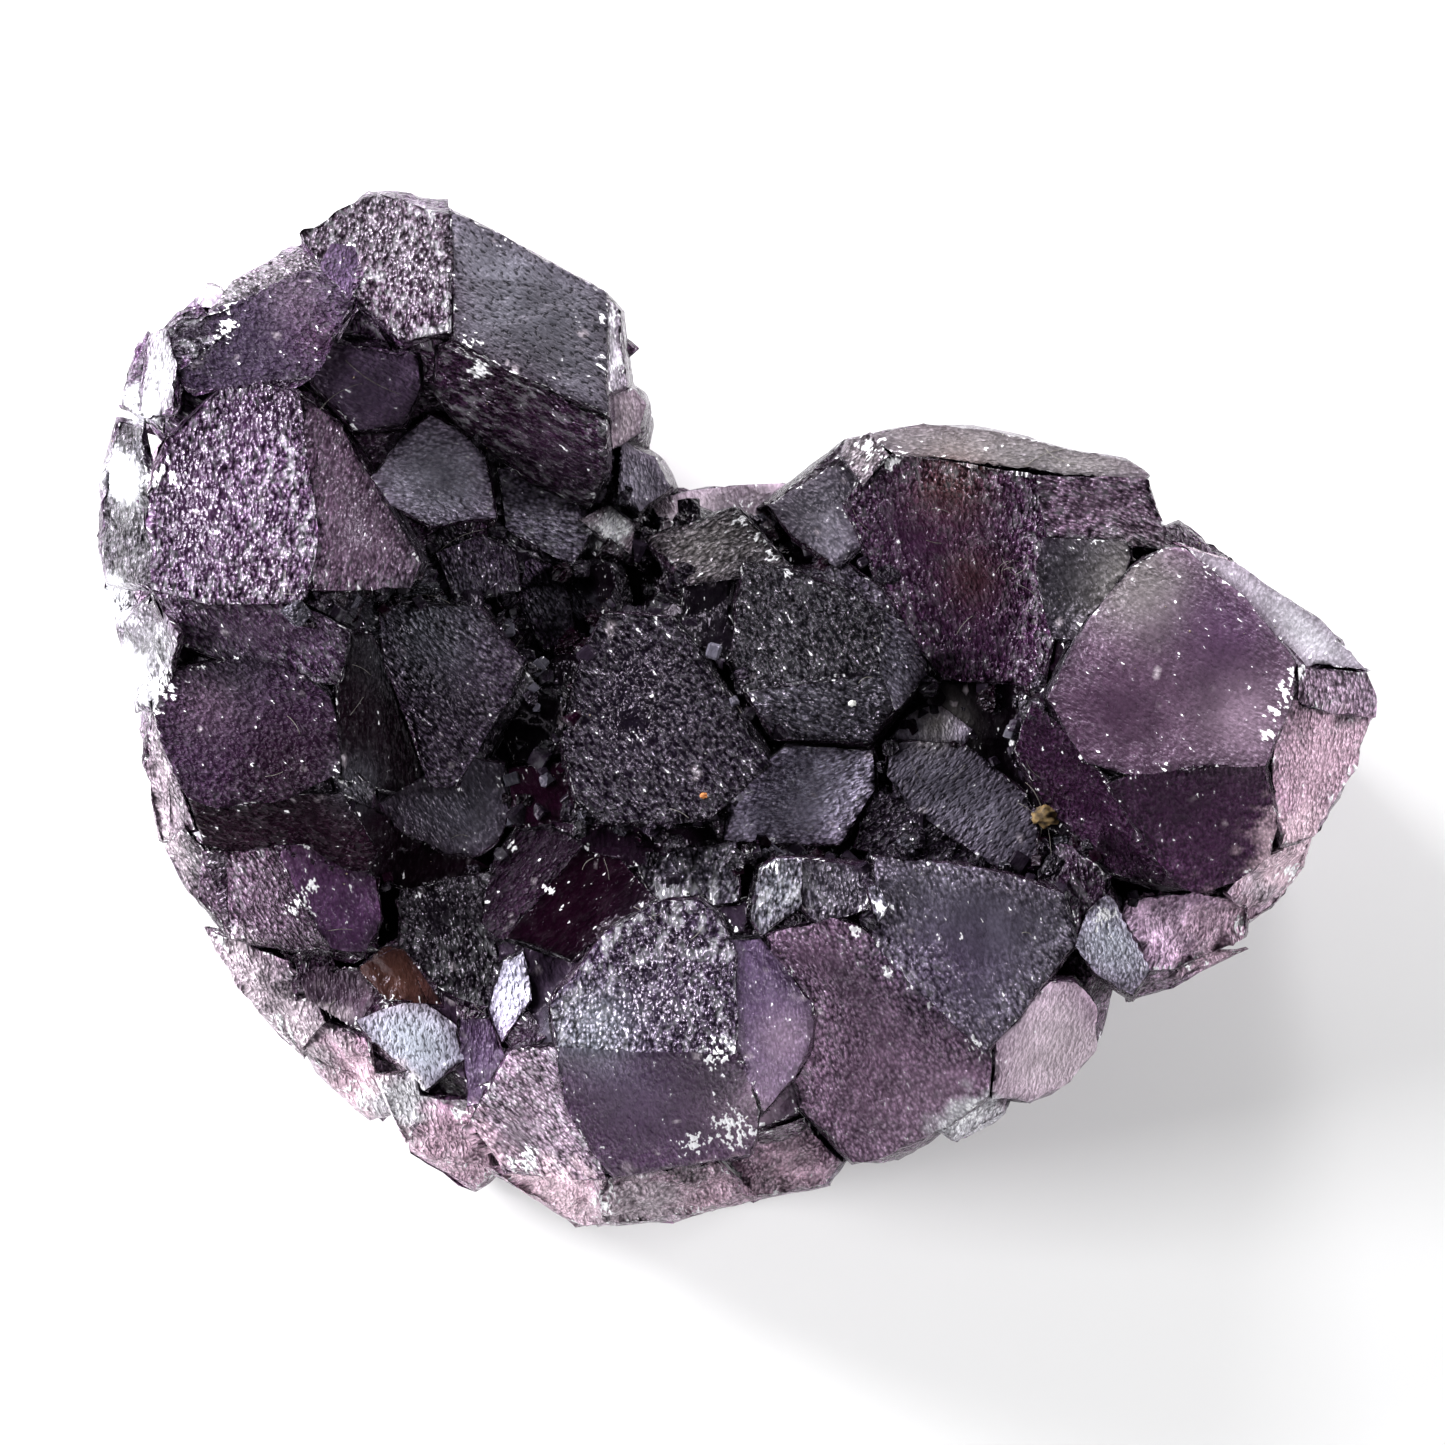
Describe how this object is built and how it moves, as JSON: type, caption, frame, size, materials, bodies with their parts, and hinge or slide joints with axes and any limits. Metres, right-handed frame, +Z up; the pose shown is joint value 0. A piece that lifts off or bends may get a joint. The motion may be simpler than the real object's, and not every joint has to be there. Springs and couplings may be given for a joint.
{
  "type": "fluorite crystal cluster",
  "caption": "Dark purple fluorite crystal cluster: blocky, frosted crystals with flat faces grown together around a hollow, paler at the broken rim, flat underneath.",
  "frame": {"origin": "centre of the bounding box in plan, on the plane of the resting face", "axes": "+Z up out of the broken back, towards the crystal faces; +X along the longest side, from the taller lobe to the pointed one; +Y towards the open cleft between the lobes"},
  "size_m": [0.0502, 0.041, 0.0213],
  "materials": {
    "fluorite": "frosted and glassy crystal faces"
  },
  "bodies": {
    "root": {"fluorite_cluster": "fluorite"}
  },
  "joints": []
}
